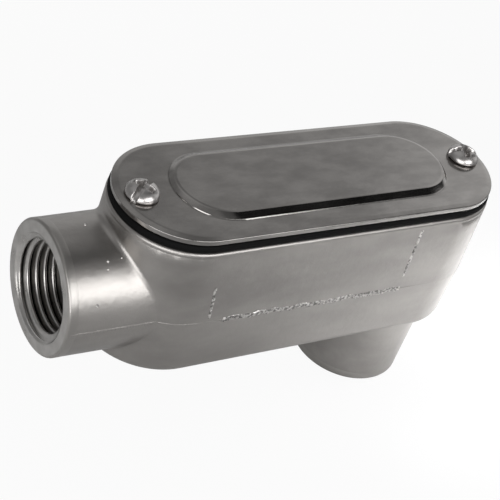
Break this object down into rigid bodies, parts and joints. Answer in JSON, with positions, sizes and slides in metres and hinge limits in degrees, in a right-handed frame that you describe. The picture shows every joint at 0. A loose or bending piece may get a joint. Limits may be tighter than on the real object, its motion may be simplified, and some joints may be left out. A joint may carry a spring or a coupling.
{
  "type": "conduit body",
  "caption": "Type LB conduit body: an obround die-cast housing with a threaded hub on its end, another under its far end, and a gasketed cover with a raised panel on two screws.",
  "frame": {"origin": "centre of the back hub's mouth", "axes": "+Z towards the cover, -Z out of the back hub, -X out of the end hub, +X along the housing"},
  "size_m": [0.1038, 0.0322, 0.057],
  "materials": {
    "cast_housing": "satin die casting",
    "cast_cover": "semi-gloss die casting",
    "gasket_rubber": "matt black",
    "screw_steel": "bright zinc plate"
  },
  "bodies": {
    "root": {"body_casting": "cast_housing", "cover_gasket": "gasket_rubber", "cover_plate": "cast_cover", "cover_screw_hub_end": "screw_steel", "cover_screw_far_end": "screw_steel"}
  },
  "joints": []
}
